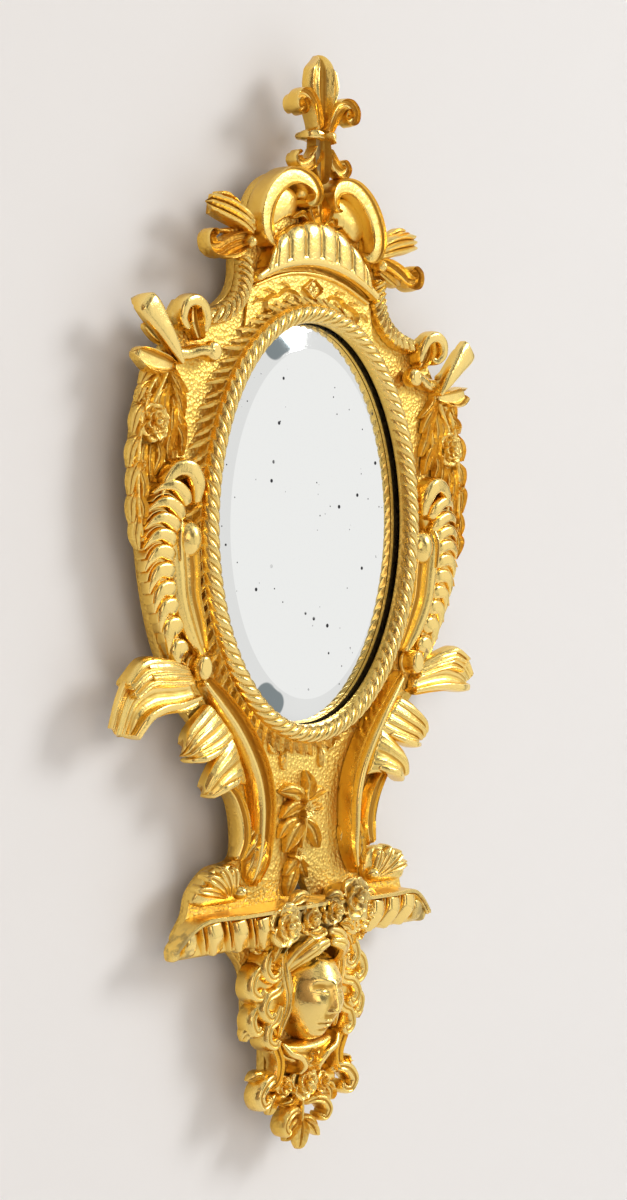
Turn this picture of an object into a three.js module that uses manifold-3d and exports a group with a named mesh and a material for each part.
// Oval wall mirror in a gilt brass frame: a pierced ground plate that carries separately cast and chased
// mounts, a rope moulding round a bevelled glass, a crown with a lily finial, and a garlanded mask under
// a gadrooned canopy. Millimetres, +Z up, +X to the right of someone facing the glass, -Y towards them.
// The origin is the middle of the backing board's rear face, which lies on the wall plane Y = 0.
import * as THREE from "three";
import { mergeVertices } from "three/addons/utils/BufferGeometryUtils.js";
import Module from "manifold-3d";

const wasm = await Module();
wasm.setup();

// ---- driving dimensions -------------------------------------------------------------------------
const clearance = 0.3; // between neighbouring castings
const standOff = 11; // back of the ground plate to the wall
const plateThick = 5;
const bezelRise = 5; // raised oval collar of the plate, under the rope
const lipThick = 3; // front part of the collar, which laps over the edge of the glass

const ovalHalfWidth = 71; // middle of the rope moulding
const ovalHalfHeight = 100;
const ropeWidth = 9;
const ropeRise = 5.7;
const ropeStrands = 92;

const glassThick = 4;
const glassBevel = 12; // its part inside the sight edge
const glassEdgeThick = 1.8;
const glassMargin = 0.6; // how far the glass reaches past the middle of the rope
const boardRimWidth = 11;
const rebateWall = 7;
const rebateShort = 4; // rear of the rebate ring to the wall

const buttonThick = 1.4;
const buttonWidth = 8;
const buttonReach = 12; // pivot to the tip that bears on the board
const buttonTail = 4;
const buttonScrewRadius = 1.4;
const buttonHeadRadius = 3;
const buttonHeadThick = 1.1;
const buttonAngle = 48; // degrees round the oval from the horizontal

const ringRadius = 9.5;
const ringWire = 1.3;
const hangAboveOval = 40; // hinge line of the hanging ring above the top of the oval
const hangerWidth = 26;
const hangerHeight = 14;
const hangerThick = 2;
const stapleWidth = 5;

const studRadius = 2;
const nutSide = 8;
const nutThick = 3;

const rivetRadius = 1.5;
const rivetProud = 1; // how far the pins stand out behind the plate
const slotHalfWidth = 6; // three-cornered slot above the console
const slotTop = -164;
const slotBottom = -177;
const maskHeight = -223; // middle of the head
const maskHalfWidth = 17;
const maskHalfHeight = 23;
const maskFront = -41; // brow and cheeks, as a level along Y

// ---- levels along Y, worked out from the wall forwards --------------------------------------------
const plateBack = -standOff;
const plateFront = plateBack - plateThick;
const seat = plateFront - clearance; // where the mounts' flat backs lie
const bezelFront = plateFront - bezelRise;
const ropeSeat = bezelFront - clearance;
const lipBack = bezelFront + lipThick;
const glassFront = lipBack + clearance;
const glassBack = glassFront + glassThick;
const boardFront = glassBack + clearance;
const rebateBack = -rebateShort; // the board's rim ends level with it
const buttonFront = rebateBack + clearance;
const buttonBack = buttonFront + buttonThick;
const hangerBack = plateBack + clearance + hangerThick;
const ringY = hangerBack + ringWire + 1.2;
const hangHeight = ovalHalfHeight + hangAboveOval;

// The mounts are drawn round an oval 71 by 100 and follow the real one: what hangs on the middle line keeps its
// X, and what lies beside or beyond the oval moves with its edge.
const drawnOval = [71, 100];
const share = (v, from, to) => Math.sign(v) * THREE.MathUtils.clamp((Math.abs(v) - from) / (to - from), 0, 1);
const placed = ([x, z]) => [
  x + (ovalHalfWidth - drawnOval[0]) * share(x, 43, drawnOval[0]),
  z + (ovalHalfHeight - drawnOval[1]) * share(z, 0, drawnOval[1]),
];

// ---- solids -----------------------------------------------------------------------------------------
const solidOf = (geometry) => {
  const bare = geometry.clone();
  bare.deleteAttribute("normal");
  bare.deleteAttribute("uv");
  const merged = mergeVertices(bare, 1e-4);
  const made = new wasm.Manifold(
    new wasm.Mesh({
      numProp: 3,
      vertProperties: merged.attributes.position.array,
      triVerts: new Uint32Array(merged.index.array),
    }),
  );
  return made;
};

const geometryOf = (solid) => {
  const mesh = solid.getMesh();
  const positions = new Float32Array(mesh.numVert * 3);
  for (let i = 0; i < mesh.numVert; i++) {
    positions.set(mesh.vertProperties.subarray(i * mesh.numProp, i * mesh.numProp + 3), i * 3);
  }
  return new THREE.BufferGeometry()
    .setAttribute("position", new THREE.BufferAttribute(positions, 3))
    .setIndex(new THREE.BufferAttribute(new Uint32Array(mesh.triVerts), 1));
};

const join = (solids) => solids.reduce((a, b) => a.add(b));
const cut = (solid, cutters) => cutters.reduce((a, b) => a.subtract(b), solid);
// Booleans can leave crumbs where a cutter grazes a mount; the mount keeps its main piece.
const mainPiece = (solid) => solid.decompose().sort((a, b) => b.volume() - a.volume())[0];

// An indexed shell whose faces are turned to point outwards.
const shell = (points, faces) => {
  let volume = 0;
  const [a, b, c] = [new THREE.Vector3(), new THREE.Vector3(), new THREE.Vector3()];
  for (const [i, j, k] of faces) {
    volume += a.fromArray(points[i]).dot(b.fromArray(points[j]).cross(c.fromArray(points[k])));
  }
  const turned = volume < 0 ? faces.map(([i, j, k]) => [i, k, j]) : faces;
  return new THREE.BufferGeometry()
    .setAttribute("position", new THREE.Float32BufferAttribute(points.flat(), 3))
    .setIndex(turned.flat());
};

// Triangles over a flat ring, walked with the ring or against it.
const capFaces = (flat, first, forward) => {
  const n = flat.length;
  const triangles = THREE.ShapeUtils.triangulateShape(flat.map(([u, v]) => new THREE.Vector2(u, v)), []);
  const edges = ([i, j, k]) => [[i, j], [j, k], [k, i]];
  const isForward = triangles.some((triangle) => edges(triangle).some(([p, q]) => q === (p + 1) % n));
  return triangles.map(([i, j, k]) => (isForward === forward ? [i, j, k] : [i, k, j]).map((v) => first + v));
};

// A loft through rings of equally many points, capped at both ends, or closed on itself.
const loft = (rings, flatten = (ring) => ring.map((p) => [p[0], p[2]]), closed = false) => {
  const n = rings[0].length;
  const faces = [];
  for (let i = 0; i < rings.length - (closed ? 0 : 1); i++) {
    const next = ((i + 1) % rings.length) * n;
    for (let k = 0; k < n; k++) {
      const l = (k + 1) % n;
      faces.push([i * n + k, i * n + l, next + l], [i * n + k, next + l, next + k]);
    }
  }
  if (!closed) {
    faces.push(...capFaces(flatten(rings[0]), 0, false));
    faces.push(...capFaces(flatten(rings.at(-1)), (rings.length - 1) * n, true));
  }
  return solidOf(shell(rings.flat(), faces));
};

const ball = (x, y, z, rx, ry, rz, around = 8, up = 5) =>
  solidOf(new THREE.SphereGeometry(1, around, up).scale(rx, ry, rz).translate(x, y, z));
const pin = (x, z, radius, yFrom, yTo, sides = 20) => {
  const rod = new THREE.CylinderGeometry(radius, radius, Math.abs(yTo - yFrom), sides);
  return solidOf(rod.translate(x, (yFrom + yTo) / 2, z));
};
const block = (x0, x1, y0, y1, z0, z1) => {
  const box = new THREE.BoxGeometry(x1 - x0, y1 - y0, z1 - z0);
  return solidOf(box.translate((x0 + x1) / 2, (y0 + y1) / 2, (z0 + z1) / 2));
};
const behindSeat = () => block(-200, 200, seat, 60, -400, 400);

// A flat outline in X and Z, extruded from yBack towards the viewer.
const slab = (shape, yBack, thick, curveSegments = 6) =>
  solidOf(
    new THREE.ExtrudeGeometry(shape, { depth: thick, bevelEnabled: false, curveSegments })
      .rotateX(Math.PI / 2)
      .translate(0, yBack, 0),
  );

// ---- ovals ------------------------------------------------------------------------------------------
// Ovals are given by how far they lie outside the middle of the rope.
const ovalRing = (grow, y, steps = 48) =>
  new THREE.EllipseCurve(0, 0, ovalHalfWidth + grow, ovalHalfHeight + grow)
    .getPoints(steps)
    .slice(0, steps)
    .map((p) => [p.x, y, p.y]);
const ovalLoft = (levels) => loft(levels.map(([grow, y]) => ovalRing(grow, y)));
const ovalPoint = (grow, degrees) => {
  const a = THREE.MathUtils.degToRad(degrees);
  return [(ovalHalfWidth + grow) * Math.cos(a), (ovalHalfHeight + grow) * Math.sin(a)];
};
const ovalTurn = (degrees) => {
  const a = THREE.MathUtils.degToRad(degrees);
  return Math.atan2(Math.sin(a) * ovalHalfWidth, Math.cos(a) * ovalHalfHeight);
};

// ---- relief bands -----------------------------------------------------------------------------------
// Cross-sections run from one edge (0) to the other (1); the second number is the share of the rise.
const sections = {
  round: [[0, 0], [0, 0.4], [0.25, 0.92], [0.75, 0.92], [1, 0.4], [1, 0]],
  ridge: [[0, 0], [0, 0.3], [0.5, 1], [1, 0.3], [1, 0]],
  flat: [[0, 0], [0, 0.8], [0.15, 1], [0.85, 1], [1, 0.8], [1, 0]],
  hollow: [[0, 0], [0, 0.8], [0.13, 1], [0.4, 0.5], [0.66, 0.55], [0.87, 1], [1, 0.7], [1, 0]],
  ribs: [
    [0, 0], [0, 0.7], [0.2, 1], [0.36, 0.5], [0.5, 0.95], [0.64, 0.45], [0.78, 0.85], [0.9, 0.4], [1, 0.5], [1, 0],
  ],
};

const smooth = (points, t) => {
  const spots = points.map(([x, z]) => new THREE.Vector3(x, 0, z));
  const p = new THREE.CatmullRomCurve3(spots, false, "centripetal").getPoint(t);
  return [p.x, p.z];
};
const along = (values, t) => {
  if (typeof values === "number") return values;
  const at = t * (values.length - 1);
  const i = Math.min(values.length - 2, Math.floor(at));
  return THREE.MathUtils.lerp(values[i], values[i + 1], at - i);
};

// A mount's part is a band: either a path with widths, or two rails. grow widens it, for use as a cutter.
const edgesOf = (band, t, grow) => {
  if (band.rails) {
    const a = smooth(band.rails.map((r) => r[0]), t);
    const b = smooth(band.rails.map((r) => r[1]), t);
    const length = Math.hypot(b[0] - a[0], b[1] - a[1]) || 1;
    const d = [((b[0] - a[0]) / length) * grow, ((b[1] - a[1]) / length) * grow];
    return [[a[0] - d[0], a[1] - d[1]], [b[0] + d[0], b[1] + d[1]]];
  }
  const p = smooth(band.path, t);
  const q = smooth(band.path, Math.min(1, t + 0.01));
  const o = smooth(band.path, Math.max(0, t - 0.01));
  const length = Math.hypot(q[0] - o[0], q[1] - o[1]);
  const side = [-(q[1] - o[1]) / length, (q[0] - o[0]) / length];
  const half = along(band.width, t) / 2 + grow;
  return [[p[0] - side[0] * half, p[1] - side[1] * half], [p[0] + side[0] * half, p[1] + side[1] * half]];
};

const bandSolid = (band, cutter = false) => {
  const grow = cutter ? clearance : 0;
  const steps = band.steps ?? 8;
  const section = cutter ? [[0, 0], [0, 1], [1, 1], [1, 0]] : sections[band.section ?? "round"];
  const rings = [];
  for (let i = 0; i <= steps; i++) {
    const t = i / steps;
    let [a, b] = edgesOf(band, t, grow);
    if (cutter && (i === 0 || i === steps)) {
      const inner = edgesOf(band, i === 0 ? 1 / steps : 1 - 1 / steps, grow);
      const out = [(a[0] + b[0] - inner[0][0] - inner[1][0]) / 2, (a[1] + b[1] - inner[0][1] - inner[1][1]) / 2];
      const length = Math.hypot(...out) || 1;
      const push = out.map((v) => (v / length) * clearance);
      [a, b] = [[a[0] + push[0], a[1] + push[1]], [b[0] + push[0], b[1] + push[1]]];
    }
    const base = cutter ? 60 : seat - (band.lift ? along(band.lift, t) : 0);
    const swell = band.beads ? 1 - 0.3 * Math.abs(Math.cos(Math.PI * band.beads * t)) : 1;
    const rise = cutter ? 160 : along(band.rise, t) * swell;
    rings.push(section.map(([u, h]) => [a[0] + (b[0] - a[0]) * u, base - rise * h, a[1] + (b[1] - a[1]) * u]));
  }
  return loft(rings, (ring) => {
    const [p, q] = [ring[0], ring[ring.length - 1]];
    const d = [q[0] - p[0], q[2] - p[2]];
    const length = Math.hypot(...d) || 1;
    return ring.map((r) => [((r[0] - p[0]) * d[0] + (r[2] - p[2]) * d[1]) / length, r[1]]);
  });
};

const mirrored = (band) => ({
  ...band,
  path: band.path?.map(([x, z]) => [-x, z]),
  rails: band.rails?.map(([a, b]) => [[-a[0], a[1]], [-b[0], b[1]]]),
});

// ---- the tree of parts ------------------------------------------------------------------------------
const root = new THREE.Group();
const finishes = {
  burnished: new THREE.MeshStandardMaterial({ color: 0xf2bd4a, roughness: 0.22, metalness: 1 }),
  matted: new THREE.MeshStandardMaterial({ color: 0xd99f45, roughness: 0.5, metalness: 1 }),
  brass: new THREE.MeshStandardMaterial({ color: 0xa8834a, roughness: 0.4, metalness: 1 }),
  silvered: new THREE.MeshStandardMaterial({ color: 0xe6e8e4, roughness: 0.04, metalness: 1 }),
  oak: new THREE.MeshStandardMaterial({ color: 0x8a6238, roughness: 0.7, metalness: 0 }),
  iron: new THREE.MeshStandardMaterial({ color: 0x4a443e, roughness: 0.6, metalness: 1 }),
};
const addPart = (name, solid, finish, [x, y, z] = [0, 0, 0], turn = 0) => {
  const mesh = new THREE.Mesh(geometryOf(solid), finishes[finish]);
  mesh.name = name;
  mesh.position.set(x, y, z);
  mesh.rotation.y = turn;
  root.add(mesh);
};

// A mount is made of bands and rounded blobs, has a flat back on the plate and pins that go through the plate.
const blobSolid = ([x, y, z, rx, ry, rz, around = 8, up = 5], grow = 0) =>
  ball(x, y, z, rx + grow, ry + grow, rz + grow, around, up);
const rivet = ([x, z]) => pin(x, z, rivetRadius, seat - 1.5, plateBack + rivetProud, 6);
const placedBand = (band) => ({
  ...band,
  path: band.path?.map(placed),
  rails: band.rails?.map((pair) => pair.map(placed)),
});
const placedBlob = ([x, y, z, ...rest]) => {
  const [u, v] = placed([x, z]);
  return [u, y, v, ...rest];
};
const rivetHoles = [];
const cutters = new Map();
const mount = (name, drawn, avoid = [], finish = "burnished") => {
  const bands = (drawn.bands ?? []).map(placedBand);
  const blobs = (drawn.blobs ?? []).map(placedBlob);
  const pins = (drawn.pins ?? []).map(placed);
  const solids = drawn.solids ?? [];
  const raised = cut(join([...bands.map((b) => bandSolid(b)), ...blobs.map((b) => blobSolid(b)), ...solids]), [
    behindSeat(),
    ...avoid.flatMap((other) => cutters.get(other)),
  ]);
  addPart(name, join([mainPiece(raised), ...pins.map(rivet), ...(drawn.threaded ?? []).map(stud)]), finish);
  rivetHoles.push(...pins.map(([x, z]) => pin(x, z, rivetRadius + clearance * 1.2, 0, -30, 6)));
  cutters.set(name, [...bands.map((b) => bandSolid(b, true)), ...blobs.map((b) => blobSolid(b, clearance))]);
};
const flipX = ([x, ...rest]) => [-x, ...rest];
const mountPair = (name, { bands = [], blobs = [], pins = [] }, avoid = [], finish = "burnished") => {
  for (const [side, isLeft] of [["left", true], ["right", false]]) {
    const own = avoid.map((other) => (cutters.has(other) ? other : `${other}_${side}`));
    const shapes = isLeft
      ? { bands: bands.map(mirrored), blobs: blobs.map(flipX), pins: pins.map(flipX) }
      : { bands, blobs, pins };
    mount(`${name}_${side}`, shapes, own, finish);
  }
};

// ---- rope, glass, board -------------------------------------------------------------------------------
const buildRope = () => {
  const steps = ropeStrands * 2;
  const middle = new THREE.EllipseCurve(0, 0, ovalHalfWidth, ovalHalfHeight).getSpacedPoints(steps).slice(0, steps);
  const rings = middle.map((p, i) => {
    const out = new THREE.Vector2(p.x / ovalHalfWidth ** 2, p.y / ovalHalfHeight ** 2).normalize();
    return [0, 1, 2, 3, 4].map((k) => {
      const phi = (k / 4) * Math.PI;
      const swell = k % 4 === 0 ? 1 : 0.94 + 0.06 * Math.cos(Math.PI * i - phi * 1.3) * 2;
      const u = (-Math.cos(phi) * ropeWidth * Math.min(swell, 1)) / 2;
      return [p.x + out.x * u, ropeSeat - Math.sin(phi) * ropeRise * swell, p.y + out.y * u];
    });
  });
  addPart("rope_moulding", loft(rings, undefined, true), "burnished");
  cutters.set("rope_moulding", [ovalLoft([[ropeWidth / 2 + clearance, 60], [ropeWidth / 2 + clearance, -100]])]);
};

const sightGrow = -ropeWidth / 2;
const buildGlass = () => {
  const bevelled = ovalLoft([
    [glassMargin, glassBack],
    [glassMargin, glassBack - glassEdgeThick],
    [sightGrow - glassBevel, glassFront],
  ]);
  addPart("mirror_glass", bevelled, "silvered");
};
const buildBoard = () => {
  const rim = ovalLoft([[glassMargin, boardFront], [glassMargin, rebateBack]]);
  const field = ovalLoft([
    [glassMargin - boardRimWidth, rebateBack - 1],
    [glassMargin - boardRimWidth, rebateBack],
    [glassMargin - boardRimWidth - 6, 0],
  ]);
  addPart("backing_board", rim.add(field), "oak");
};

// ---- fastenings on the back ---------------------------------------------------------------------------
const screw = (radius, headRadius, headThick, length, slotWidth = 0.8) =>
  pin(0, 0, radius, 0.2, -length, 8)
    .add(pin(0, 0, headRadius, 0, headThick, 12))
    .subtract(block(-headRadius * 2, headRadius * 2, headThick - 0.5, headThick + 1, -slotWidth / 2, slotWidth / 2));

const buttonSpots = [buttonAngle, 180 - buttonAngle, 180 + buttonAngle, 360 - buttonAngle];
const wallGrow = glassMargin + clearance + rebateWall / 2;
const buildButtons = () => {
  const outline = new THREE.Shape()
    .moveTo(-buttonReach + buttonWidth / 2, -buttonWidth / 2)
    .absarc(buttonTail - buttonWidth / 2, 0, buttonWidth / 2, -Math.PI / 2, Math.PI / 2)
    .absarc(-buttonReach + buttonWidth / 2, 0, buttonWidth / 2, Math.PI / 2, -Math.PI / 2);
  const button = slab(outline, buttonThick, buttonThick, 5).subtract(
    pin(0, 0, buttonScrewRadius + clearance, -9, 9, 12),
  );
  const holder = screw(buttonScrewRadius, buttonHeadRadius, buttonHeadThick, 9);
  buttonSpots.forEach((degrees, i) => {
    const [x, z] = ovalPoint(wallGrow, degrees);
    addPart(`turn_button_${i + 1}`, button, "brass", [x, buttonFront, z], -ovalTurn(degrees));
    addPart(`turn_button_screw_${i + 1}`, holder, "iron", [x, buttonBack + 0.2, z], -ovalTurn(degrees) + 0.6);
  });
};

const hangerScrewX = hangerWidth / 2 - 4.5;
const buildHanger = () => {
  const front = hangerBack - hangerThick;
  const staple = pin(0, 0, ringWire + 2.1, -stapleWidth / 2, stapleWidth / 2, 20);
  const bore = pin(0, 0, ringWire + 0.8, -9, 9, 20);
  const turned = (solid) => solid.rotate([0, 0, 90]).translate([0, ringY, hangHeight]);
  const [half, bottom, top] = [hangerWidth / 2, hangHeight - hangerHeight / 2, hangHeight + hangerHeight / 2];
  const plate = block(-half, half, front, hangerBack, bottom, top);
  const foot = block(-stapleWidth / 2, stapleWidth / 2, hangerBack - 1, ringY, hangHeight - 3, hangHeight + 3);
  const holes = [-1, 1].map((sign) => pin(sign * hangerScrewX, hangHeight, buttonScrewRadius + clearance, -40, 40));
  addPart("hanging_bracket", cut(join([plate, foot, turned(staple)]), [turned(bore), ...holes]), "brass");
  const wire = solidOf(new THREE.TorusGeometry(ringRadius, ringWire, 8, 24).rotateX(Math.PI / 2));
  addPart("hanging_ring", wire.translate([0, 0, -ringRadius]), "brass", [0, ringY, hangHeight]);
  [-1, 1].forEach((sign, i) =>
    addPart(
      `bracket_screw_${i + 1}`,
      screw(buttonScrewRadius, buttonHeadRadius, buttonHeadThick, hangerThick + 3.6),
      "iron",
      [sign * hangerScrewX, hangerBack + 0.2, hangHeight],
      sign * 0.7,
    ),
  );
};

const studs = [["mask_nut", 0, maskHeight + 9], ["console_nut_left", -52, -188], ["console_nut_right", 52, -188]];
const stud = ([, x, z]) => pin(...placed([x, z]), studRadius, seat - 2, plateBack + nutThick + 2, 12);
const buildNuts = () => {
  studs.forEach(([name, x, z], i) => {
    const nut = block(-nutSide / 2, nutSide / 2, 0, nutThick, -nutSide / 2, nutSide / 2).subtract(
      pin(0, 0, studRadius + clearance, -9, 9),
    );
    const [u, v] = placed([x, z]);
    addPart(name, nut, "brass", [u, plateBack + clearance, v], 0.3 + 0.5 * i);
  });
};

// ---- mounts -------------------------------------------------------------------------------------------
const neckHalf = 6.2;
const neckHeight = 5;
const neckBottom = placed([0, 181.5])[1];
const neckTop = neckBottom + neckHeight;
const buildFinial = () => {
  const petal = { path: [[0, 184], [0, 190], [0, 200], [0, 211], [0, 219], [0, 224]], width: [12, 10, 15, 21, 17, 2] };
  const curl = { path: [[4, 190], [8, 195], [12, 202], [18, 205]], width: [6, 7, 6, 5], rise: 8, steps: 5, lift: 1 };
  const leaf = { path: [[4, 178], [9, 174], [18, 171]], width: [4, 8, 4], rise: 7, steps: 4, section: "ridge" };
  mount("lily_finial", {
    bands: [
      { ...petal, rise: [7, 8, 9, 10, 9, 6], section: "ridge", steps: 9 },
      { path: [[0, 188], [0, 181], [0, 174], [0, 164]], width: [11, 12, 15, 4], rise: 8, section: "ridge", steps: 5 },
      ...[curl, mirrored(curl), leaf, mirrored(leaf)],
    ],
    blobs: [[18.5, -20, 199, 6, 6.5, 6], [-18.5, -20, 199, 6, 6.5, 6]],
    solids: [block(-neckHalf, neckHalf, seat - 6, seat + 0.1, neckBottom - 2, neckTop + 2)],
  });
  const strap = block(-neckHalf - 4, neckHalf + 4, seat - 12, seat + 2.5, neckBottom, neckTop);
  const neck = block(-neckHalf - clearance, neckHalf + clearance, seat - 8.5, seat + clearance, 0, neckTop + 100);
  addPart("finial_collar", strap.subtract(neck), "burnished");
};
const buildCrest = () => {
  buildFinial();
  mountPair(
    "crest_arch",
    {
      bands: [
        {
          path: [[10, 154], [14, 159.5], [22.5, 161], [32.5, 155.5], [39.5, 146], [40.5, 137], [36, 130]],
          width: [5, 7, 9, 9.5, 9.5, 9, 5],
          rise: 10,
          section: "hollow",
          steps: 12,
        },
      ],
      blobs: [[8.5, -20, 156.5, 5, 7, 5], [35, -19.5, 131, 4.5, 6, 4.5]],
      pins: [[22.5, 160]],
    },
    ["lily_finial"],
  );
  mount("crown_band", {
    bands: [
      {
        path: [[-43, 112], [-32, 118], [-17, 123], [0, 125], [17, 123], [32, 118], [43, 112]],
        width: 6,
        rise: 8,
        steps: 12,
      },
    ],
    pins: [[-24, 121], [24, 121]],
  });
  const ribs = [[-37, 116, -31, 130], [-22, 122.5, -20, 136], [0, 126, 0, 143], [22, 122.5, 20, 136], [37, 116, 31, 130]];
  mount(
    "crown_dome",
    {
      bands: [
        { rails: ribs.map(([a, b, c, d]) => [[a, b], [c, d]]), rise: 7.5, beads: 7, steps: 28, section: "ridge" },
        { path: [[0, 140], [0, 147], [0, 154]], width: [5, 11, 3], rise: [6, 8, 6], section: "ridge", steps: 4 },
      ],
      pins: [[0, 130.5]],
    },
    ["crown_band", "crest_arch_left", "crest_arch_right"],
  );
  const scroll = {
    path: [[13, 108], [20, 110.5], [28, 107], [31, 102], [26, 101]],
    width: [2, 3, 3.5, 3, 2],
    rise: 3,
    section: "ridge",
    steps: 6,
  };
  const ground = [
    [[-45, 88], [-42, 112]],
    [[-22, 104], [-20, 121]],
    [[0, 105.5], [0, 124]],
    [[22, 104], [20, 121]],
    [[45, 88], [42, 112]],
  ];
  mount(
    "crown_frieze",
    {
      bands: [
        { rails: ground, rise: 1.5, section: "flat", steps: 8 },
        { path: [[-40, 109], [-20, 116.5], [0, 118.5], [20, 116.5], [40, 109]], width: 2, rise: 3, section: "ridge", steps: 8 },
        { path: [[-7, 112], [0, 112], [7, 112]], width: [0.6, 9, 0.6], rise: [2, 4, 2], section: "ridge", steps: 4 },
        scroll,
        mirrored(scroll),
      ],
    },
    ["crown_band", "rope_moulding"],
    "matted",
  );
  const upper = { path: [[43, 137], [52, 139], [62, 141], [74, 141]], width: [9, 12, 13, 7], section: "hollow" };
  const lower = { path: [[44, 128], [54, 125], [64, 123.5], [74, 124]], width: [10, 9, 8, 4], section: "ridge" };
  mountPair(
    "leaf_sprig",
    {
      bands: [{ ...upper, rise: [6, 8, 7, 4], steps: 6 }, { ...lower, rise: [6, 7, 8, 5], steps: 6 }],
      pins: [[48, 127]],
    },
    ["crest_arch", "crown_band"],
    "matted",
  );
};

const buildShoulders = () => {
  mountPair(
    "shoulder_cord",
    {
      bands: [
        {
          path: [[48, 121], [47.5, 112], [51, 102], [60, 94.5], [73, 91]],
          width: 9,
          rise: 6,
          beads: 7,
          steps: 28,
          section: "ridge",
        },
      ],
      pins: [[52, 101]],
    },
    ["crown_band", "leaf_sprig", "crown_frieze", "rope_moulding"],
  );
  mountPair("rolled_curl", { blobs: [[85, -18, 90, 9.5, 8.5, 8.5]], pins: [[82, 85]] }, ["shoulder_cord"]);
  mountPair(
    "volute",
    {
      bands: [
        {
          path: [[86, 72], [96, 77], [106, 87], [113, 95]],
          width: [14, 14, 12, 7],
          rise: [6, 9, 9, 6],
          section: "hollow",
          steps: 7,
        },
        { path: [[96, 74], [105, 75], [114, 77]], width: [8, 8, 3], rise: [6, 7, 5], section: "ridge", steps: 4 },
        { path: [[90, 75], [81, 77], [72, 75.5]], width: [11, 10, 8], rise: [6, 8, 8], steps: 4 },
      ],
      blobs: [[72, -20, 75.5, 4.5, 6, 4.5]],
      pins: [[88, 74]],
    },
    ["rolled_curl", "shoulder_cord", "rope_moulding"],
  );
};

const buildSides = () => {
  const stemLeaf = { path: [[98, 64], [90, 58], [84, 48]], width: [3, 6, 1], rise: 4, section: "ridge", steps: 4 };
  mountPair(
    "garland",
    {
      bands: [
        {
          path: [[95, 68], [104, 58], [109, 44], [111.5, 30], [113, 15], [112.5, 1], [110, -13]],
          width: [8, 13, 17, 15, 12, 8, 3],
          rise: [5, 7, 8, 7, 6, 5, 3],
          beads: 7,
          steps: 28,
          section: "ridge",
        },
        stemLeaf,
      ],
      blobs: [[105, -20, 42, 8.5, 6, 8.5]],
      pins: [[106, 50]],
    },
    ["volute"],
    "matted",
  );
  mountPair(
    "gadroon_scroll",
    {
      bands: [
        {
          path: [[92, 14], [96, 5], [99, -5], [100.5, -17], [98.5, -31], [94, -45], [86, -64]],
          width: [21, 20, 18, 16, 14, 11, 5],
          rise: [9, 9, 8, 8, 7, 6, 4],
          beads: 11,
          steps: 33,
          section: "ridge",
        },
        {
          path: [[100, 15], [95, 21.5], [87, 22.5], [81, 16], [80.5, 6]],
          width: [6, 8, 9, 9, 6],
          rise: [8, 10, 10, 10, 8],
          steps: 8,
        },
      ],
      pins: [[99, -22]],
    },
    ["garland"],
  );
  mountPair("pearl", { blobs: [[75.5, -18, -67, 4.7, 9, 5.7]] }, ["gadroon_scroll"]);
  mountPair(
    "ribbed_scroll",
    {
      bands: [
        {
          rails: [
            [[94, -8], [84, -7]],
            [[94, -22], [75, -16]],
            [[91, -38], [74, -32]],
            [[84, -52], [69, -46]],
            [[75, -61], [66, -58]],
          ],
          rise: [7, 8, 7, 6, 5],
          section: "ribs",
          steps: 10,
        },
      ],
      blobs: [[82, -19, -9, 7.5, 7, 7.5]],
      pins: [[88, -17]],
    },
    ["gadroon_scroll", "pearl", "rope_moulding"],
  );
};

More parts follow.
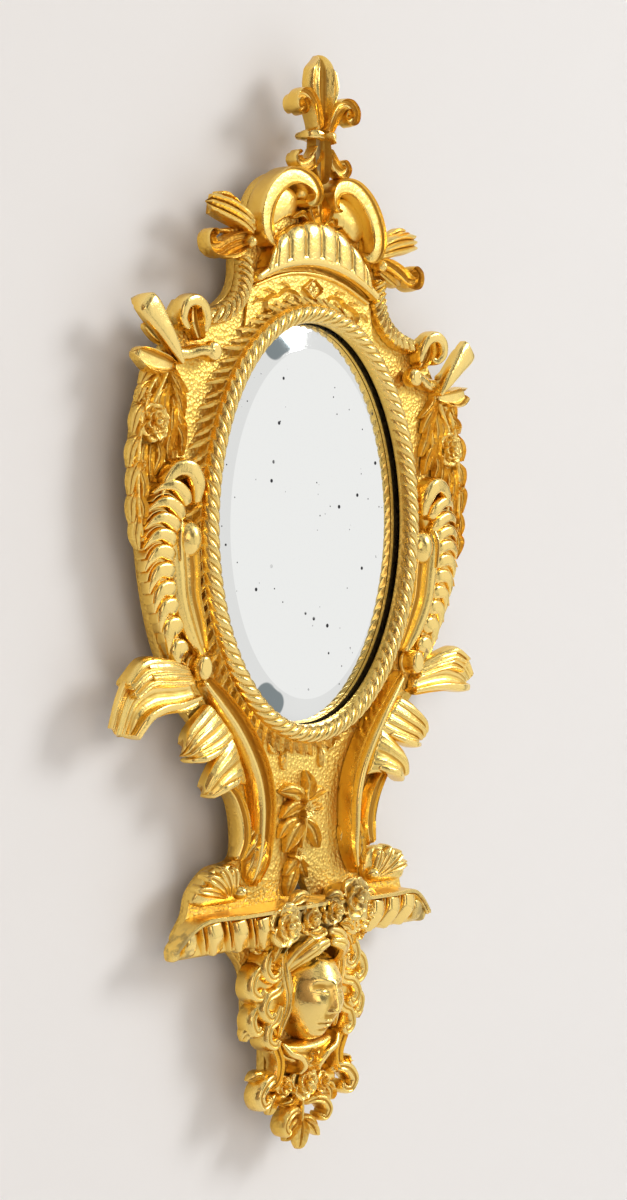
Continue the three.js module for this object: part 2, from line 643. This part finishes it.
const leafRails = {
  left: [
    [[84, -69], [73, -82]],
    [[98, -66], [88, -86]],
    [[112, -66], [100, -86]],
    [[123, -74], [108, -89]],
    [[131, -94], [114, -95.5]],
  ],
  right: [
    [[84, -68], [75, -84]],
    [[96, -62], [90, -82]],
    [[107, -60], [100, -81]],
    [[118, -64], [109, -81]],
    [[127, -74], [119, -80]],
  ],
};
const buildLower = () => {
  mountPair(
    "s_scroll",
    {
      bands: [
        {
          path: [[70, -74], [60, -83], [50, -94], [41, -107], [35, -119], [32, -132], [32, -147], [33, -158], [37, -168]],
          width: [7, 10, 11, 12, 12, 12, 11, 10, 6],
          rise: [5, 7, 8, 8, 8, 8, 8, 7, 5],
          section: "hollow",
          steps: 16,
        },
      ],
      pins: [[34, -130]],
    },
    ["rope_moulding", "pearl", "ribbed_scroll"],
  );
  for (const side of ["left", "right"]) {
    const leaf = { rails: leafRails[side], rise: [6, 8, 9, 8, 5], section: "hollow", steps: 9 };
    const pins = [[side === "left" ? -85 : 85, -71]];
    const shapes = { bands: [side === "left" ? mirrored(leaf) : leaf], pins };
    const others = ["gadroon_scroll", "pearl", "s_scroll", "ribbed_scroll"].map((n) => `${n}_${side}`);
    mount(`acanthus_upper_${side}`, shapes, ["rope_moulding", ...others]);
  }
  mountPair(
    "acanthus_lower",
    {
      bands: [
        {
          rails: [[[66, -84], [50, -100]], [[76, -90], [60, -104]], [[85, -98], [73, -107]], [[87, -105], [80, -108]]],
          rise: [7, 9, 8, 5],
          section: "hollow",
          steps: 7,
        },
        {
          rails: [[[52, -98], [42, -122]], [[60, -105], [50, -121]], [[69, -113], [60, -123.5]], [[74, -123], [66, -126]]],
          rise: [7, 9, 8, 5],
          section: "hollow",
          steps: 7,
        },
        { path: [[56, -121], [49.5, -128], [45, -138], [44, -148], [47, -156]], width: [5, 6, 7, 7, 6], rise: 6, steps: 7 },
      ],
      pins: [[56, -103]],
    },
    ["acanthus_upper", "s_scroll"],
  );
  mountPair(
    "shell",
    {
      bands: [
        {
          rails: [
            [[43, -160], [42, -175.5]],
            [[54, -158], [52, -175.5]],
            [[66, -161], [62, -175.5]],
            [[76, -171], [74, -175.5]],
          ],
          rise: [7, 8, 8, 6],
          section: "ribs",
          steps: 8,
        },
      ],
      pins: [[58, -168]],
    },
    ["s_scroll", "acanthus_lower"],
  );
  const frond = (points, width = [5, 8, 2]) => ({ path: points, width, rise: [5, 5, 3], section: "ridge", steps: 5 });
  mount(
    "centre_spray",
    {
      bands: [
        {
          path: [[1, -118], [0, -130], [-1, -142], [-3, -152], [-6, -161]],
          width: [2, 9, 8, 9, 3],
          rise: 5,
          section: "ridge",
          steps: 9,
        },
        frond([[0, -138], [-9, -130], [-18, -128]]),
        frond([[0, -136], [9, -130], [17, -131]]),
        frond([[-1, -144], [8, -149], [12, -156]]),
        frond([[-1, -144], [-9, -147], [-16, -152]]),
      ],
      pins: [[-1, -142]],
    },
    ["s_scroll_left", "s_scroll_right"],
    "matted",
  );
};

// Flower: a bud with a ring of petals, turned by the given angle.
const flower = (x, y, z, size, petals = 5, turn = 0) => [
  [x, y - size * 0.25, z, size * 0.4, size * 0.45, size * 0.4, 6, 4],
  ...Array.from({ length: petals }, (_, i) => {
    const a = turn + (i / petals) * Math.PI * 2;
    return [x + Math.cos(a) * size * 0.55, y, z + Math.sin(a) * size * 0.55, size * 0.47, size * 0.42, size * 0.47, 5, 3];
  }),
];
const buildPendant = () => {
  const z = maskHeight;
  const back = (seat + maskFront) / 2;
  const depth = (seat - maskFront) / 2;
  mount("mask_head", {
    blobs: [
      [0, back, z + 3, maskHalfWidth, depth + 1, maskHalfHeight - 4],
      [0, back - 1, z - 7, maskHalfWidth - 5, depth, maskHalfHeight - 8],
      [0, maskFront - 0.5, z - 1, 2.6, 4, 5.5],
      [-6.5, maskFront + 2.2, z + 3.5, 3.6, 2, 1.9],
      [6.5, maskFront + 2.2, z + 3.5, 3.6, 2, 1.9],
      [0, maskFront + 2, z - 10, 4, 2.2, 1.8],
    ],
    threaded: [studs[0]],
  });
  const wreath = [...flower(-23, -33, -189, 11), ...flower(23, -33, -189, 11, 5, 0.6), ...flower(0, -37, -194, 9, 5, 0.3)];
  mount("mask_wreath", { blobs: [...wreath, [-12, -34, -194, 8, 6, 7], [12, -34, -194, 8, 6, 7]] }, ["mask_head"]);
  const spanX = [-90, -82, -74, -52, -28, 0, 28, 52, 74, 82, 90];
  const lipTop = [-178, -178.5, -179, -180, -185, -193];
  const lipHeight = 3;
  const belly = (x) => 5 + 11 * Math.cos((x / 92) * (Math.PI / 2));
  mount(
    "console_shelf",
    {
      bands: [
        {
          rails: spanX.map((x, i) => [[x, lipTop[Math.abs(5 - i)]], [x, lipTop[Math.abs(5 - i)] - lipHeight]]),
          rise: spanX.map((x) => belly(x) + 3),
          section: "flat",
          steps: 12,
        },
        {
          rails: spanX.map((x, i) => {
            const top = lipTop[Math.abs(5 - i)] - lipHeight + 0.4;
            return [[x * 0.985, top], [x * 0.985, -197 - Math.abs(x) * 0.02]];
          }),
          rise: spanX.map(belly),
          beads: 13,
          steps: 52,
          section: "ridge",
        },
      ],
      threaded: [studs[1], studs[2]],
    },
    ["mask_head", "mask_wreath", "shell_left", "shell_right"],
  );
  mountPair(
    "hair_curls",
    {
      blobs: [
        [24, -25, -206, 8, 8, 7],
        [34, -24, -213, 8.5, 7, 7.5],
        [27, -25, -222, 7.5, 8, 8],
        [32, -23, -232, 7.5, 6.5, 7],
        [25, -22, -240, 6, 6, 6],
      ],
      bands: [
        { path: [[27, -203], [29, -214], [27, -228], [25, -241]], width: [8, 11, 10, 7], rise: 4, section: "ridge", steps: 3 },
        {
          path: [[26, -241], [23, -250], [20, -258], [23, -263]],
          width: [6, 6, 5, 3],
          rise: [8, 9, 8, 6],
          section: "hollow",
          steps: 6,
        },
      ],
      pins: [[27, -216]],
    },
    ["mask_head", "mask_wreath", "console_shelf"],
  );
  mount(
    "chin_collar",
    {
      bands: [
        {
          path: [[-19, -250], [-10, -252], [0, -253], [10, -252], [19, -250]],
          width: [8, 12, 14, 12, 8],
          rise: [8, 11, 13, 11, 8],
          section: "ribs",
          steps: 8,
        },
      ],
      pins: [[0, -252]],
    },
    ["mask_head", "hair_curls_left", "hair_curls_right"],
  );
  mount(
    "chin_flowers",
    {
      blobs: [
        ...flower(-24, -22, -265, 8),
        ...flower(24, -22, -267, 8, 5, 0.6),
        ...flower(0, -25, -267, 11, 5, 0.3),
        [-13, -20, -266, 7, 5, 5],
        [13, -20, -266, 7, 5, 5],
      ],
      bands: [
        { path: [[-28, -265], [0, -267], [28, -265]], width: [7, 9, 7], rise: 6, section: "ridge", steps: 4 },
        { path: [[-24, -264], [-32, -264], [-37, -260]], width: [7, 6, 3], rise: 6, section: "ridge", steps: 3 },
        { path: [[24, -266], [31, -268], [36, -270]], width: [7, 6, 3], rise: 6, section: "ridge", steps: 3 },
      ],
      pins: [[0, -266]],
    },
    ["chin_collar", "hair_curls_left", "hair_curls_right"],
  );
  const sprig = (points, width) => ({ path: points, width, rise: [6, 7, 5], section: "ridge", steps: 5 });
  mount(
    "bottom_sprig",
    {
      bands: [
        sprig([[0, -274], [0, -286], [-1, -299]], [6, 10, 3]),
        sprig([[0, -278], [-9, -282], [-17, -284]], [6, 9, 4]),
        sprig([[0, -278], [9, -281], [17, -282]], [6, 9, 4]),
        sprig([[0, -284], [7, -289], [12, -295]], [5, 7, 2]),
        sprig([[0, -284], [-7, -289], [-11, -292]], [5, 7, 2]),
      ],
      pins: [[0, -278]],
    },
    ["chin_flowers"],
    "matted",
  );
};

// ---- ground plate ---------------------------------------------------------------------------------------
const halfOutline = [
  [0, 168], [6, 163], [13, 164.5], [24.5, 164.5], [35.5, 159], [42.5, 150], [45, 141], [44, 134], [50, 132], [52, 120],
  [52.5, 111], [56, 104], [66, 97], [78, 96], [88, 86], [98, 73], [104, 61], [111, 50], [115, 38], [117, 24],
  [117, 10], [114, -10], [109, -34], [101, -54], [93, -68], [84, -82], [72, -94], [64, -102], [60, -110],
  [54, -122], [48, -130], [45, -142], [46, -156], [62, -160], [73, -170], [76, -180], [82, -190], [76, -196],
  [52, -196], [44, -202], [38, -210], [36, -222], [34, -236], [24, -246], [22, -262], [10, -272], [4, -282], [0, -286],
];
const buildPlate = () => {
  const outline = new THREE.Shape([
    ...halfOutline.map((p) => new THREE.Vector2(...placed(p))),
    ...halfOutline.slice(1, -1).reverse().map(([x, z]) => new THREE.Vector2(...placed([-x, z]))),
  ]);
  const slot = new THREE.Shape()
    .moveTo(...placed([0, slotTop]))
    .lineTo(slotHalfWidth, placed([0, slotBottom])[1])
    .lineTo(-slotHalfWidth, placed([0, slotBottom])[1]);
  const rebate = glassMargin + clearance;
  const screwHole = (x, z, depth) => pin(x, z, buttonScrewRadius + clearance, depth[0], depth[1], 12);
  const bezel = ovalLoft([[ropeWidth / 2, plateBack - 1], [ropeWidth / 2, bezelFront]]);
  const plate = slab(outline, plateBack, plateThick)
    .add(bezel)
    .add(ovalLoft([[rebate + rebateWall, rebateBack], [rebate + rebateWall, plateBack - 1]]))
    .subtract(ovalLoft([[rebate, 10], [rebate, lipBack]]))
    .subtract(ovalLoft([[sightGrow, 10], [sightGrow, -40]]));
  const holes = [
    ...rivetHoles,
    slab(slot, 0, 40),
    ...studs.map(([, x, z]) => pin(...placed([x, z]), studRadius + clearance, 0, -40, 16)),
    ...buttonSpots.map((degrees) => screwHole(...ovalPoint(wallGrow, degrees), [0, rebateBack - 9.2])),
    ...[-1, 1].map((sign) => screwHole(sign * hangerScrewX, hangHeight, [0, plateBack - 3.8])),
  ];
  addPart("frame_plate", cut(plate, holes), "matted");
};

buildRope();
buildGlass();
buildBoard();
buildCrest();
buildShoulders();
buildSides();
buildLower();
buildPendant();
buildPlate();
buildButtons();
buildHanger();
buildNuts();

export default root;
